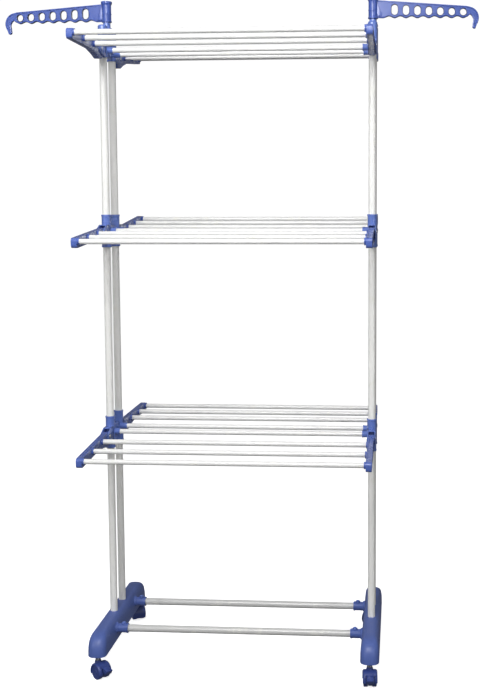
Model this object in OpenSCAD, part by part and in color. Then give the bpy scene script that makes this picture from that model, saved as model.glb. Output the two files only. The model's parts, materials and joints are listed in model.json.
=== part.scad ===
// Three-tier tower clothes airer on castors.
// Origin on the floor at the middle of the base, +X to the right seen from the front, +Y to the rear, +Z up.

/* [Frame] */
// Distance between the left and right posts
post_sep = 680; // [600:1:760]
// Distance between the front and rear post of one side
post_gap = 84; // [80:1:96]
// Outside diameter of the posts
post_d = 19; // [18:0.5:20]
// Outside diameter of the drying rods
rod_d = 12.5; // [11:0.5:13]
// Wall of the steel tubes
tube_wall = 1; // [0.8:0.1:1.5]

/* [Tiers] */
// Height of the rods of the lower tier
lower_z = 591; // [560:1:620]
// Height of the rods of the middle tier
middle_z = 1112; // [1080:1:1140]
// Height of the rods of the upper tier
upper_z = 1567; // [1540:1:1580]
// Distance of the outermost rod from the middle
outer_rod_y = 316; // [300:1:330]
// Distance between the rods of a wing
rod_pitch = 84; // [74:1:86]
// Distance of the wing hinges from the middle
pivot_y = 88; // [86:1:92]
// Distance of the fixed middle rods from the middle
centre_rod_y = 37; // [34:1:40]
// Rest angle of the lower wings above level, front then rear
lower_tilt = [-4, 1]; // [-6:1:8]
// Rest angle of the middle wings above level, front then rear
middle_tilt = [-5, 7]; // [-6:1:8]
// Rest angle of the upper wings above level, front then rear
upper_tilt = [0, 7]; // [-6:1:8]

/* [Base] */
// Height of the two cross tubes
cross_z = 86; // [84:1:90]
// Distance of the cross tubes from the middle
cross_y = 97; // [90:1:110]
// Outside diameter of the cross tubes
cross_d = 18; // [17:0.5:19]
// Half the length of a foot
foot_half = 222; // [210:1:240]
// Width of a foot
foot_w = 47; // [44:1:52]
// Underside of the feet above the floor
foot_bottom = 56; // [54:1:60]
// Top of the feet above the floor
foot_top = 112; // [110:1:118]

/* [Castors] */
// Diameter of the castor wheels
wheel_d = 38; // [34:1:40]
// Distance of the castor stems from the middle
castor_y = 200; // [190:1:205]
// Distance from the stem to the wheel axle
castor_trail = 12; // [8:1:14]
// Direction of each castor, front left, front right, rear left, rear right
castor_turn = [49, 4, 28, -35]; // [-180:1:180]

/* [Hangers] */
// Reach of a hanger arm from the axis of its sleeve
hanger_reach = 264; // [240:1:280]
// Top of the hanger sleeves above the floor
total_h = 1694; // [1685:1:1705]
// Distance between the hanger holes
hole_pitch = 28.5; // [27:0.5:29]
// Number of hanger holes in an arm
hole_count = 7; // [5:1:7]

/* [Hidden] */
$fn = 48;

blue = "royalblue";
white = "whitesmoke";
steel = "silver";

// which side, end or tier
left = -1;
right = 1;
front = -1;
rear = 1;
side_x = post_sep / 2;
post_y = post_gap / 2;

// running gap between a tube and its socket, and between an arm and its bracket
tube_gap = 0.1;
pin_gap = 0.05;
arm_gap = 0.4;

// brackets
socket_r = post_d / 2 + 2.4;
socket_half = 41.5;
partition_up = 9;
partition_down = 11;
web_t = 10;
web_bottom = -20;
web_top = 14;
boss_r = rod_d / 2 + 1.9;
centre_boss_end = 25;
centre_rod_start = socket_r + 0.4;
upper_socket_bottom = -18;
upper_socket_top = 62;
upper_post_end = 50;

// hinges: heights are from the rods, distances along the arm are from the hinge pin
pin_z = -2;
pin_r = 3;
pin_head_r = 5;
pin_head_t = 1.6;
cheek_t = 2.8;
cheek_r = 14;
roof_top = 18;
roof_under = 15;
roof_front = -14.5;
stop_front = -18;
hood_back = -37;

// wing arms
arm_w = 14.4;
arm_top = 11;
arm_bottom = -13;
arm_heel = -27;
arm_root = -28;
arm_boss_l = 9.3;
arm_tip = outer_rod_y - pivot_y + 10;
tip_r = 8;
rod_u = [for (i = [2:-1:0]) outer_rod_y - pivot_y - i * rod_pitch];
rod_v = 2;
rod_bite = 5;
cheek_in = arm_w / 2 + arm_gap;
cheek_out = cheek_in + cheek_t;

// feet
foot_wall = 2.6;
foot_round = 17;
nose_r = 34;
seat_z = 66;
cross_socket_r = cross_d / 2 + 2.6;
cross_socket_l = 29;
cross_seat = side_x - 6;
button_r = 4.8;
button_hole_r = 5.2;
button_x = side_x - foot_w / 2 - 17;
stem_hole_r = 4.06;

// castors
stem_r = 4;
stem_top = 88;
wheel_w = 12.2;
hub_w = 9;
axle_r = 3;
hood_r = wheel_d / 2 + 3.4;
hood_half = hub_w / 2 + wheel_w + 1.4;
lever_half = 9;
lever_pin_r = 1.5;
lever_y = -castor_trail - wheel_d / 2 - 1;
lever_z = wheel_d / 2 + 14.5;

// hangers
sleeve_bottom = total_h - 52;
sleeve_r = 11.6;
sleeve_rim_r = 14;
spigot_r = 7;
spigot_l = 44;
sleeve_gap = 0.4;
hanger_t = 5;
hanger_rim_t = 8.4;
hole_first = 54;
hole_w = 14.5;
column_r = 9.2;

function tier_z(tier) = tier == "lower" ? lower_z : tier == "middle" ? middle_z : upper_z;
function tilt_of(tier, e) =
    (tier == "lower" ? lower_tilt : tier == "middle" ? middle_tilt : upper_tilt)[e == front ? 0 : 1];
function arc(cx, cy, r, from, to, n) =
    [for (i = [0:n]) [cx + r * cos(from + (to - from) * i / n), cy + r * sin(from + (to - from) * i / n)]];

// height of the bracket's stop above the hinge pin, just over the tail of a resting arm
function stop_v(t) = arm_top / cos(t) + (t > 0 ? stop_front : arm_root) * tan(t) + 0.3;

// plain shapes

module tube(d, l) {
    difference() {
        cylinder(d = d, h = l);
        translate([0, 0, -1]) cylinder(d = d - 2 * tube_wall, h = l + 2);
    }
}

module tube_x(d, l) {
    rotate([0, 90, 0]) translate([0, 0, -l / 2]) tube(d, l);
}

module solid_x(r, l) {
    rotate([0, 90, 0]) cylinder(r = r, h = l);
}

// a rectangle standing on the x axis, rounded at its top corners
module round_top(w, h, r) {
    translate([-w / 2, 0]) square([w, h - r]);
    translate([-w / 2 + r, 0]) square([w - 2 * r, h]);
    for (s = [-1, 1]) translate([s * (w / 2 - r), h - r]) circle(r = r);
}

// a shape drawn in (y, z), extruded along x between two values
module plate_yz(x0, x1) {
    translate([x0, 0, 0]) rotate([90, 0, 90]) linear_extrude(x1 - x0) children();
}

// a shape drawn in (x, z), extruded along y, centred
module plate_xz(t) {
    translate([0, t / 2, 0]) rotate([90, 0, 0]) linear_extrude(t) children();
}

// a slot standing upright: width, height
module upright_slot(w, h) {
    for (s = [-1, 1]) translate([0, s * (h - w) / 2]) circle(d = w);
    square([w, h - w], center = true);
}

// feet: an arched bar with rounded ends, hollow underneath

module foot_form(shrink) {
    w = foot_w - 2 * shrink;
    l = 2 * (foot_half - shrink);
    h = foot_top - foot_bottom - shrink;
    r = foot_round - shrink / 2;
    intersection() {
        plate_xz(l + 20) round_top(w, h, r);
        plate_yz(-w, w) round_top(l, h, nose_r - shrink);
        linear_extrude(h + 10) {
            square([w, l - 2 * r], center = true);
            square([w - 2 * r, l], center = true);
            for (sx = [-1, 1], sy = [-1, 1]) {
                translate([sx * (w / 2 - r), sy * (l / 2 - r)]) circle(r = r);
            }
        }
    }
}

module foot(s) {
    inner = -s;
    socket_end = foot_w / 2 + cross_socket_l;
    color(blue) translate([s * side_x, 0, 0]) difference() {
        union() {
            translate([0, 0, foot_bottom]) difference() {
                foot_form(0);
                translate([0, 0, -0.01]) foot_form(foot_wall);
            }
            intersection() {
                translate([0, 0, foot_bottom]) foot_form(0);
                union() {
                    for (e = [front, rear]) {
                        translate([0, e * post_y, foot_bottom]) cylinder(r = socket_r + 1, h = 60);
                        translate([0, e * castor_y, foot_bottom]) cylinder(r = stem_r + 4, h = 60);
                        translate([0, e * cross_y, cross_z]) mirror([s > 0 ? 1 : 0, 0, 0]) solid_x(cross_socket_r, 40);
                    }
                    translate([0, 0, foot_bottom + 20]) cube([3, 2 * castor_y, 40], center = true);
                }
            }
            for (e = [front, rear]) {
                translate([0, e * cross_y, cross_z]) mirror([s > 0 ? 1 : 0, 0, 0]) {
                    solid_x(cross_socket_r, socket_end);
                    translate([socket_end - 5, 0, 0]) solid_x(cross_socket_r + 1, 5);
                }
            }
        }
        for (e = [front, rear]) {
            translate([0, e * post_y, seat_z]) cylinder(r = post_d / 2 + tube_gap, h = 60);
            translate([0, e * castor_y, foot_bottom - 1]) cylinder(r = stem_hole_r, h = stem_top - foot_bottom + 2);
            translate([inner * 6, e * cross_y, cross_z]) mirror([s > 0 ? 1 : 0, 0, 0]) {
                solid_x(cross_d / 2 + tube_gap, socket_end);
            }
            translate([inner * (side_x - button_x), e * cross_y, cross_z]) cylinder(r = button_hole_r, h = 20);
        }
    }
}

module cross_tube(e) {
    color(white) translate([0, e * cross_y, cross_z]) difference() {
        tube_x(cross_d, 2 * cross_seat - 1);
        for (s = [left, right]) translate([s * button_x, 0, 0]) cylinder(r = button_hole_r, h = 20);
    }
}

// snap button: a domed pin that stands up through the socket
module lock_button(s, e) {
    shaft = cross_socket_r - cross_d / 2 + 5.4;
    color(blue) translate([s * button_x, e * cross_y, cross_z + cross_d / 2 - 3]) {
        cylinder(r = button_r, h = shaft);
        translate([0, 0, shaft]) rotate_extrude() intersection() {
            translate([0, -button_r * 0.3]) circle(r = button_r * 1.044);
            square([button_r, button_r]);
        }
    }
}

// castors

module castor_place(s, e, turn) {
    translate([s * side_x, e * castor_y, 0]) rotate([0, 0, turn]) children();
}

module castor_stem() {
    color(steel) {
        translate([0, 0, wheel_d / 2 + 8]) cylinder(r = stem_r, h = stem_top - wheel_d / 2 - 8);
        translate([0, 0, wheel_d + 5.4]) cylinder(r = stem_r + 2.5, h = 4);
    }
}

// side view of the hood: a fender over the wheels, open below, drawn in (y, z)
module hood_profile(r) {
    intersection() {
        translate([-castor_trail, wheel_d / 2]) circle(r = r);
        translate([-castor_trail - 60, wheel_d / 2 - 3]) square([120, 60]);
    }
}

module castor_hood(braked) {
    color(blue) difference() {
        union() {
            plate_yz(-hood_half, hood_half) hood_profile(hood_r);
            if (braked) for (m = [0, 1]) mirror([m, 0, 0]) {
                plate_yz(lever_half + 0.7, lever_half + 2.9) translate([lever_y, lever_z]) circle(r = 3.6);
            }
            translate([0, 0, wheel_d / 2 + 4]) cylinder(r = stem_r + 3.6, h = wheel_d / 2 + 1);
            plate_yz(-hub_w / 2, hub_w / 2) {
                translate([-castor_trail, wheel_d / 2]) circle(r = 9);
                translate([-castor_trail - 2, wheel_d / 2 - 3]) square([16, 22]);
            }
        }
        for (m = [-1, 1]) {
            plate_yz(m > 0 ? hub_w / 2 : -hood_half + 1.2, m > 0 ? hood_half - 1.2 : -hub_w / 2) {
                translate([-castor_trail, wheel_d / 2]) circle(r = wheel_d / 2 + 1);
            }
            plate_yz(m > 0 ? hub_w / 2 : -hood_half - 1, m > 0 ? hood_half + 1 : -hub_w / 2) {
                translate([-castor_trail, wheel_d / 2]) circle(r = wheel_d / 2 - 2.5);
            }
        }
        translate([-30, -castor_trail, wheel_d / 2]) solid_x(axle_r + pin_gap, 60);
        translate([0, 0, wheel_d / 2 + 8]) cylinder(r = stem_r + 0.03, h = 60);
        if (braked) {
            translate([-lever_half - 0.6, lever_y - 20, wheel_d / 2 - 10]) cube([2 * lever_half + 1.2, 24.5, 28]);
            translate([-20, lever_y, lever_z]) solid_x(lever_pin_r + pin_gap, 40);
        }
    }
}

module castor_wheels() {
    color(blue) translate([0, -castor_trail, wheel_d / 2]) difference() {
        union() {
            translate([-hub_w / 2 - wheel_w, 0, 0]) solid_x(axle_r, hub_w + 2 * wheel_w);
            for (m = [-1, 1]) rotate([0, 90 * m, 0]) rotate_extrude() polygon([
                [0, hub_w / 2 + 0.5],
                [wheel_d / 2 - 1, hub_w / 2 + 0.5],
                [wheel_d / 2, hub_w / 2 + 1.5],
                [wheel_d / 2, hub_w / 2 + wheel_w - 1.8],
                [wheel_d / 2 - 1.6, hub_w / 2 + wheel_w - 0.4],
                [wheel_d / 2 - 4, hub_w / 2 + wheel_w],
                [wheel_d / 2 - 4.6, hub_w / 2 + wheel_w - 1.2],
                [0, hub_w / 2 + wheel_w - 0.6]
            ]);
        }
    }
}

// foot lever at the trailing end of a front castor's hood, on its own small pin
module brake_lever() {
    color(blue) union() {
        translate([-lever_half - 2.9, lever_y, lever_z]) solid_x(lever_pin_r, 2 * lever_half + 5.8);
        plate_yz(-lever_half, lever_half) {
            translate([lever_y, lever_z]) circle(r = 2.6);
            polygon([
                [lever_y - 0.5, lever_z + 2.5],
                [lever_y + 0.5, lever_z - 2.5],
                [lever_y - 3, lever_z - 11],
                [lever_y - 12, lever_z - 13],
                [lever_y - 12.4, lever_z - 10.6],
                [lever_y - 5, lever_z - 3]
            ]);
        }
    }
}

// posts

module posts(s, z0, z1) {
    color(white) for (e = [front, rear]) translate([s * side_x, e * post_y, z0]) tube(post_d, z1 - z0);
}

// brackets

// one hinge hood in side view with the hinge pin at the origin and the arm towards +x
module cheek_outline() {
    circle(r = cheek_r);
    polygon([
        [hood_back, web_bottom - pin_z], [-9, -cheek_r - 1], [0, -cheek_r + 1],
        [cheek_r * 0.7, cheek_r * 0.5], [roof_front + 1, roof_top], [hood_back, roof_top]
    ]);
}

module hood(e, tilt) {
    under = stop_v(tilt);
    translate([0, e * pivot_y, pin_z]) mirror([0, e == front ? 1 : 0, 0]) {
        for (m = [0, 1]) mirror([m, 0, 0]) plate_yz(cheek_in, cheek_out) cheek_outline();
        plate_yz(-cheek_out, cheek_out) polygon([
            [hood_back, web_bottom - pin_z], [arm_root - 3, web_bottom - pin_z], [arm_root - 3, under],
            [stop_front, under], [stop_front, roof_under], [roof_front, roof_under],
            [roof_front, roof_top], [hood_back, roof_top]
        ]);
    }
}

module hood_cuts(e) {
    translate([0, e * pivot_y, pin_z]) translate([-30, 0, 0]) solid_x(pin_r + pin_gap, 60);
}

module rod_bosses(s) {
    for (e = [front, rear]) translate([0, e * centre_rod_y, 0]) mirror([s > 0 ? 1 : 0, 0, 0]) {
        solid_x(boss_r, centre_boss_end);
        translate([centre_boss_end - 3, 0, 0]) solid_x(boss_r + 0.7, 3);
    }
}

module rod_boss_cuts(s) {
    for (e = [front, rear]) translate([0, e * centre_rod_y, 0]) mirror([s > 0 ? 1 : 0, 0, 0]) {
        translate([centre_rod_start - 0.2, 0, 0]) solid_x(rod_d / 2 + tube_gap, centre_boss_end);
    }
}

module bracket(s, tier) {
    z = tier_z(tier);
    color(blue) translate([s * side_x, 0, z]) difference() {
        union() {
            for (e = [front, rear]) {
                translate([0, e * post_y, -socket_half]) cylinder(r = socket_r, h = 2 * socket_half);
                for (m = [-1, 1]) translate([0, e * post_y, m * (socket_half - 2) - 2]) {
                    cylinder(r = socket_r + 0.8, h = 4);
                }
                hood(e, tilt_of(tier, e));
            }
            translate([-web_t / 2, -post_y, web_bottom]) cube([web_t, post_gap, web_top - web_bottom]);
            rod_bosses(s);
        }
        for (e = [front, rear]) translate([0, e * post_y, 0]) {
            translate([0, 0, partition_up]) cylinder(r = post_d / 2 + tube_gap, h = 60);
            translate([0, 0, -partition_down - 60]) cylinder(r = post_d / 2 + tube_gap, h = 60);
        }
        for (e = [front, rear]) hood_cuts(e);
        rod_boss_cuts(s);
    }
}

module bracket_upper(s) {
    column_h = sleeve_bottom - upper_z;
    color(blue) translate([s * side_x, 0, upper_z]) difference() {
        union() {
            for (e = [front, rear]) {
                translate([0, e * post_y, upper_socket_bottom]) {
                    cylinder(r = socket_r, h = upper_socket_top - upper_socket_bottom - 2);
                    cylinder(r = socket_r + 0.8, h = 4);
                }
                translate([0, e * post_y, upper_socket_top - 2]) cylinder(r1 = socket_r, r2 = socket_r - 2, h = 2);
                hood(e, tilt_of("upper", e));
            }
            translate([-web_t / 2, -post_y, web_bottom + 6]) cube([web_t, post_gap, upper_socket_top - web_bottom - 20]);
            translate([0, 0, web_bottom + 10]) cylinder(r = column_r, h = column_h - web_bottom - 10);
            translate([0, 0, upper_socket_top - 10]) cylinder(r1 = column_r, r2 = column_r + 3.4, h = 6);
            translate([0, 0, upper_socket_top - 4]) cylinder(r = column_r + 3.4, h = 3.2);
            translate([0, 0, column_h - 1]) cylinder(r = spigot_r, h = spigot_l + 1);
            rod_bosses(s);
        }
        for (e = [front, rear]) translate([0, e * post_y, upper_socket_bottom - 1]) {
            cylinder(r = post_d / 2 + tube_gap, h = upper_post_end - upper_socket_bottom + 1);
        }
        for (e = [front, rear]) hood_cuts(e);
        rod_boss_cuts(s);
    }
}

// rods

module centre_rods(tier) {
    color(white) for (e = [front, rear]) translate([0, e * centre_rod_y, tier_z(tier)]) {
        tube_x(rod_d, 2 * (side_x - centre_rod_start));
    }
}

// everything of a wing is drawn level with the hinge at the origin and then turned to its rest angle
module wing_place(tier, e) {
    translate([0, e * pivot_y, tier_z(tier) + pin_z]) mirror([0, e == front ? 1 : 0, 0]) {
        rotate([tilt_of(tier, e), 0, 0]) children();
    }
}

module wing_rods(tier, e) {
    length = 2 * (side_x - arm_w / 2 + rod_bite) - 1;
    color(white) wing_place(tier, e) for (u = rod_u) translate([0, u, rod_v]) tube_x(rod_d, length);
}

// side view of an arm, hinge at the origin, tip towards +x
module arm_outline() {
    polygon(concat(
        [[arm_root, -4], [arm_root, arm_top - 3], [arm_root + 3, arm_top]],
        arc(arm_tip - tip_r, arm_top - tip_r, tip_r, 90, 0, 6),
        arc(arm_tip - tip_r, arm_bottom + tip_r, tip_r, 0, -90, 6),
        [[rod_u[0] + 26, arm_bottom], [rod_u[0] - 20, -20], [12, arm_heel], [-6, arm_heel + 2], [-20, -18]]
    ));
}

// the same outline kept inside an even margin, for the pocket in the outer side
module arm_pocket() {
    polygon([
        [rod_u[0] - 30, arm_top - 3], [arm_tip - 12, arm_top - 3],
        [arm_tip - 12, arm_bottom + 3], [rod_u[0] + 27, arm_bottom + 3], [rod_u[0] - 18, -17], [rod_u[0] - 30, -18]
    ]);
}

module arm(tier, e, s) {
    half = arm_w / 2;
    color(blue) translate([s * side_x, 0, 0]) wing_place(tier, e) mirror([s > 0 ? 1 : 0, 0, 0]) difference() {
        union() {
            plate_yz(-half, half) arm_outline();
            for (u = rod_u) translate([half - 1, u, rod_v]) {
                solid_x(boss_r, arm_boss_l + 1);
                translate([arm_boss_l - 1.4, 0, 0]) solid_x(boss_r + 0.7, 2.4);
            }
            for (u = rod_u) translate([half - 1, u - 34, -3]) linear_extrude(8) {
                polygon([[0, 0], [0, 34], [arm_boss_l - 1, 34]]);
            }
        }
        for (u = rod_u) translate([half - rod_bite, u, rod_v]) solid_x(rod_d / 2 + tube_gap, 30);
        plate_yz(-half - 1, -half + 3.2) arm_pocket();
        for (m = [-1, 1]) translate([m * 3.4 - 1, 12, arm_top - 1.4]) cube([2, arm_tip - 26, 3]);
        translate([-30, 0, 0]) solid_x(pin_r + pin_gap, 60);
    }
}

module hinge_pins(tier) {
    color(steel) for (s = [left, right], e = [front, rear]) {
        translate([s * side_x, e * pivot_y, tier_z(tier) + pin_z]) {
            translate([-cheek_out, 0, 0]) solid_x(pin_r, 2 * cheek_out);
            translate([cheek_out, 0, 0]) solid_x(pin_head_r, pin_head_t);
            translate([-cheek_out - pin_head_t, 0, 0]) solid_x(pin_head_r, pin_head_t);
        }
    }
}

// hangers: drawn with the sleeve axis at the origin, sleeve bottom at height 0, arm towards +x

function hanger_top(x) = 45.5 - (x - 14) * 18.5 / 224;
function hole_z(i) = 22 - i * 8 / (hole_count - 1);
function hole_h(i) = 27 - i * 12 / (hole_count - 1);
function hanger_low(x) = 4.4 - x / 80 - 2.4 * cos(360 * (x - hole_first) / hole_pitch);

module hanger_outline() {
    last = hole_first + (hole_count - 1) * hole_pitch;
    polygon(concat(
        [[0, 2], [0, 47], [14, 45.5]],
        [[last + 8, hanger_top(last + 8)]],
        arc(hanger_reach - 28, -1, 28, 78, -35, 12),
        arc(hanger_reach - 11, -22, 5, -55, -190, 5),
        arc(hanger_reach - 30, -6, 16, -20, 62, 6),
        [for (x = [last + 12:-hole_pitch / 8:hole_first - 16]) [x, hanger_low(x)]],
        [[26, 1]]
    ));
}

module hanger(s) {
    color(blue) translate([s * side_x, 0, sleeve_bottom]) mirror([s < 0 ? 1 : 0, 0, 0]) difference() {
        union() {
            translate([0, 0, sleeve_gap]) cylinder(r = sleeve_r, h = total_h - sleeve_bottom - sleeve_gap);
            translate([0, 0, total_h - sleeve_bottom - 5]) cylinder(r = sleeve_rim_r, h = 5);
            translate([0, 0, total_h - sleeve_bottom - 9]) cylinder(r1 = sleeve_r, r2 = sleeve_rim_r, h = 4);
            translate([0, 0, sleeve_gap]) cylinder(r = sleeve_r + 1.2, h = 3);
            translate([0, 0, 20]) cylinder(r = sleeve_r + 0.7, h = 2);
            plate_xz(hanger_t) hanger_outline();
            plate_xz(hanger_rim_t) difference() {
                hanger_outline();
                polygon([
                    [-1, 3.5], [-1, 43.5], [14, 43], [hanger_reach - 40, 26],
                    [hanger_reach - 30, 20], [hanger_reach - 30, 6], [26, 8]
                ]);
            }
            for (i = [0:hole_count - 1]) translate([hole_first + i * hole_pitch, 0, hole_z(i)]) {
                plate_xz(hanger_rim_t) upright_slot(hole_w + 3.6, hole_h(i) + 3.6);
            }
        }
        translate([0, 0, -1]) cylinder(r = spigot_r + pin_gap, h = spigot_l + 2);
        for (i = [0:hole_count - 1]) translate([hole_first + i * hole_pitch, 0, hole_z(i)]) {
            plate_xz(20) upright_slot(hole_w, hole_h(i));
        }
    }
}

foot(left);  // foot_left
foot(right);  // foot_right
cross_tube(front);  // cross_tube_front
cross_tube(rear);  // cross_tube_rear
lock_button(left, front);  // lock_button_fl
lock_button(right, front);  // lock_button_fr
lock_button(left, rear);  // lock_button_rl
lock_button(right, rear);  // lock_button_rr
castor_place(left, front, castor_turn[0]) castor_stem();  // castor_stem_fl
castor_place(right, front, castor_turn[1]) castor_stem();  // castor_stem_fr
castor_place(left, rear, castor_turn[2]) castor_stem();  // castor_stem_rl
castor_place(right, rear, castor_turn[3]) castor_stem();  // castor_stem_rr
castor_place(left, front, castor_turn[0]) castor_hood(true);  // castor_hood_fl
castor_place(right, front, castor_turn[1]) castor_hood(true);  // castor_hood_fr
castor_place(left, rear, castor_turn[2]) castor_hood(false);  // castor_hood_rl
castor_place(right, rear, castor_turn[3]) castor_hood(false);  // castor_hood_rr
castor_place(left, front, castor_turn[0]) castor_wheels();  // castor_wheels_fl
castor_place(right, front, castor_turn[1]) castor_wheels();  // castor_wheels_fr
castor_place(left, rear, castor_turn[2]) castor_wheels();  // castor_wheels_rl
castor_place(right, rear, castor_turn[3]) castor_wheels();  // castor_wheels_rr
castor_place(left, front, castor_turn[0]) brake_lever();  // brake_lever_fl
castor_place(right, front, castor_turn[1]) brake_lever();  // brake_lever_fr
posts(left, seat_z, lower_z - partition_down);  // posts_lower_left
posts(right, seat_z, lower_z - partition_down);  // posts_lower_right
posts(left, lower_z + partition_up, middle_z - partition_down);  // posts_middle_left
posts(right, lower_z + partition_up, middle_z - partition_down);  // posts_middle_right
posts(left, middle_z + partition_up, upper_z + upper_post_end);  // posts_upper_left
posts(right, middle_z + partition_up, upper_z + upper_post_end);  // posts_upper_right
bracket(left, "lower");  // bracket_lower_left
bracket(right, "lower");  // bracket_lower_right
bracket(left, "middle");  // bracket_middle_left
bracket(right, "middle");  // bracket_middle_right
bracket_upper(left);  // bracket_upper_left
bracket_upper(right);  // bracket_upper_right
centre_rods("lower");  // centre_rods_lower
centre_rods("middle");  // centre_rods_middle
centre_rods("upper");  // centre_rods_upper
arm("lower", front, left);  // arm_lower_front_left
arm("lower", front, right);  // arm_lower_front_right
arm("lower", rear, left);  // arm_lower_rear_left
arm("lower", rear, right);  // arm_lower_rear_right
arm("middle", front, left);  // arm_middle_front_left
arm("middle", front, right);  // arm_middle_front_right
arm("middle", rear, left);  // arm_middle_rear_left
arm("middle", rear, right);  // arm_middle_rear_right
arm("upper", front, left);  // arm_upper_front_left
arm("upper", front, right);  // arm_upper_front_right
arm("upper", rear, left);  // arm_upper_rear_left
arm("upper", rear, right);  // arm_upper_rear_right
wing_rods("lower", front);  // wing_rods_lower_front
wing_rods("lower", rear);  // wing_rods_lower_rear
wing_rods("middle", front);  // wing_rods_middle_front
wing_rods("middle", rear);  // wing_rods_middle_rear
wing_rods("upper", front);  // wing_rods_upper_front
wing_rods("upper", rear);  // wing_rods_upper_rear
hinge_pins("lower");  // hinge_pins_lower
hinge_pins("middle");  // hinge_pins_middle
hinge_pins("upper");  // hinge_pins_upper
hanger(left);  // hanger_left
hanger(right);  // hanger_right
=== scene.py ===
import json
import math

import bmesh
import bpy
from mathutils import Matrix, Vector

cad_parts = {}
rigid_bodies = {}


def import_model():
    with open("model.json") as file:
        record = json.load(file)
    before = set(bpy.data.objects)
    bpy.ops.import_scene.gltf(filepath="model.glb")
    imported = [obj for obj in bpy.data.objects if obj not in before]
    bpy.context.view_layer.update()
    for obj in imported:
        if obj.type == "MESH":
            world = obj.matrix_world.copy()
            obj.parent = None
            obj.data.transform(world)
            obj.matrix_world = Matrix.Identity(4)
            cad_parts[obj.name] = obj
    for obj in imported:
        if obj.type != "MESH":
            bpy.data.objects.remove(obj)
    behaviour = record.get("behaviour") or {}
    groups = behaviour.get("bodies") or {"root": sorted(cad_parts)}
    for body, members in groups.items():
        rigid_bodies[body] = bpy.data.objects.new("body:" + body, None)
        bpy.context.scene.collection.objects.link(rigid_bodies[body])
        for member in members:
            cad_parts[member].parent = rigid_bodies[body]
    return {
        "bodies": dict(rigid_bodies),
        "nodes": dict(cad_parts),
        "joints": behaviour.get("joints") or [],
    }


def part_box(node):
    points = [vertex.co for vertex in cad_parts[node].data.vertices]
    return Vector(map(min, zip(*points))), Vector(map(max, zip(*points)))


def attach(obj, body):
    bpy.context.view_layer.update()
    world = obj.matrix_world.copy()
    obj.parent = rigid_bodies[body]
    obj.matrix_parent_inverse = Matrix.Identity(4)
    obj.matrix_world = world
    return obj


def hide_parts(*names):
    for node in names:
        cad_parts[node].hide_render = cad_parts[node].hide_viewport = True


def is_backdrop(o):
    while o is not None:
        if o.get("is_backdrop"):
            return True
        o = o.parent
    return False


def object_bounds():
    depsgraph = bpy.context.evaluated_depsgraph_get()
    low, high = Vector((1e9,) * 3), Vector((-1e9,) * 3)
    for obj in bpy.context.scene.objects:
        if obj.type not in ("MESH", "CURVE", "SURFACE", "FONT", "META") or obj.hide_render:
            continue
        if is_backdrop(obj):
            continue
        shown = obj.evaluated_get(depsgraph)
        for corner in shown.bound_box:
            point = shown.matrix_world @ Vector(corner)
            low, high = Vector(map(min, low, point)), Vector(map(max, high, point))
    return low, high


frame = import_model()
cadLow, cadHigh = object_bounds()
print("frame loaded:", len(frame["nodes"]), "nodes on", len(frame["bodies"]), "bodies")

toMm = 1000.0
nearAxis = 0.02  # how near its axis a closed turned profile comes
meshing = {"weld": 0.0005, "sharp": 32}  # points nearer than weld are joined, edges over sharp stay crisp
sides = {"left": -1, "right": 1}
ends = {"front": -1, "rear": 1}
tiers = ("lower", "middle", "upper")
hinges = [joint for joint in frame["joints"] if "pos_m" in joint]
jointPlace = {joint["name"]: Vector(joint["pos_m"]) * toMm for joint in hinges}


def box(node):
    low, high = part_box(node)
    return low * toMm, high * toMm


def middle(node):
    low, high = box(node)
    return (low + high) / 2


# the measures that every piece below is worked out from, in millimetres
postLow, postHigh = box("posts_lower_right")
postRadius = (postHigh.x - postLow.x) / 2
sideX = (postHigh.x + postLow.x) / 2
postY = postHigh.y - postRadius
rodLow, rodHigh = box("centre_rods_lower")
rodRadius = (rodHigh.z - rodLow.z) / 2
rodY = rodHigh.y - rodRadius
crossLow, crossHigh = box("cross_tube_front")
crossRadius = (crossHigh.z - crossLow.z) / 2
tierZ = {tier: middle("centre_rods_" + tier).z for tier in tiers}


# outlines: lists of 2D points, counter-clockwise round what is solid and clockwise round a hole

def arc(centre, radius, start, end, steps):
    x, y = centre
    turns = [math.radians(start + (end - start) * i / steps) for i in range(steps + 1)]
    return [Vector((x + radius * math.cos(a), y + radius * math.sin(a))) for a in turns]


def roundedBox(halfX, halfY, radius, steps=6):
    outline = []
    for i, (sx, sy) in enumerate(((1, 1), (-1, 1), (-1, -1), (1, -1))):
        corner = (sx * (halfX - radius), sy * (halfY - radius))
        outline += arc(corner, radius, 90 * i, 90 * i + 90, steps)
    return outline


def slot(centre, width, height, steps=10):
    x, y = centre
    up = (height - width) / 2
    return arc((x, y + up), width / 2, 0, 180, steps) + arc((x, y - up), width / 2, 180, 360, steps)


# rounds every corner that turns by more than a little
def soften(points, radius, closed=True, steps=3):
    points = [Vector(p) for p in points]
    out = []
    for i, here in enumerate(points):
        if not closed and i in (0, len(points) - 1):
            out.append(here)
            continue
        back = points[i - 1] - here
        ahead = points[(i + 1) % len(points)] - here
        turn = math.pi - back.angle(ahead, math.pi)
        if turn < math.radians(12):
            out.append(here)
            continue
        cut = min(radius * math.tan(turn / 2), 0.45 * back.length, 0.45 * ahead.length)
        first = here + back.normalized() * cut
        last = here + ahead.normalized() * cut
        for k in range(steps + 1):
            t = k / steps
            out.append(first * (1 - t) ** 2 + here * 2 * t * (1 - t) + last * t ** 2)
    return out


# moves an outline into what it bounds, by the same distance all round
def inset(outline, depth):
    out = []
    for i, here in enumerate(outline):
        before = (here - outline[i - 1]).normalized()
        after = (outline[(i + 1) % len(outline)] - here).normalized()
        along = (before + after).normalized()
        stretch = 1 / max(along.dot(after), 0.6)
        out.append(here + Vector((-along.y, along.x)) * depth * stretch)
    return out


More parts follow.
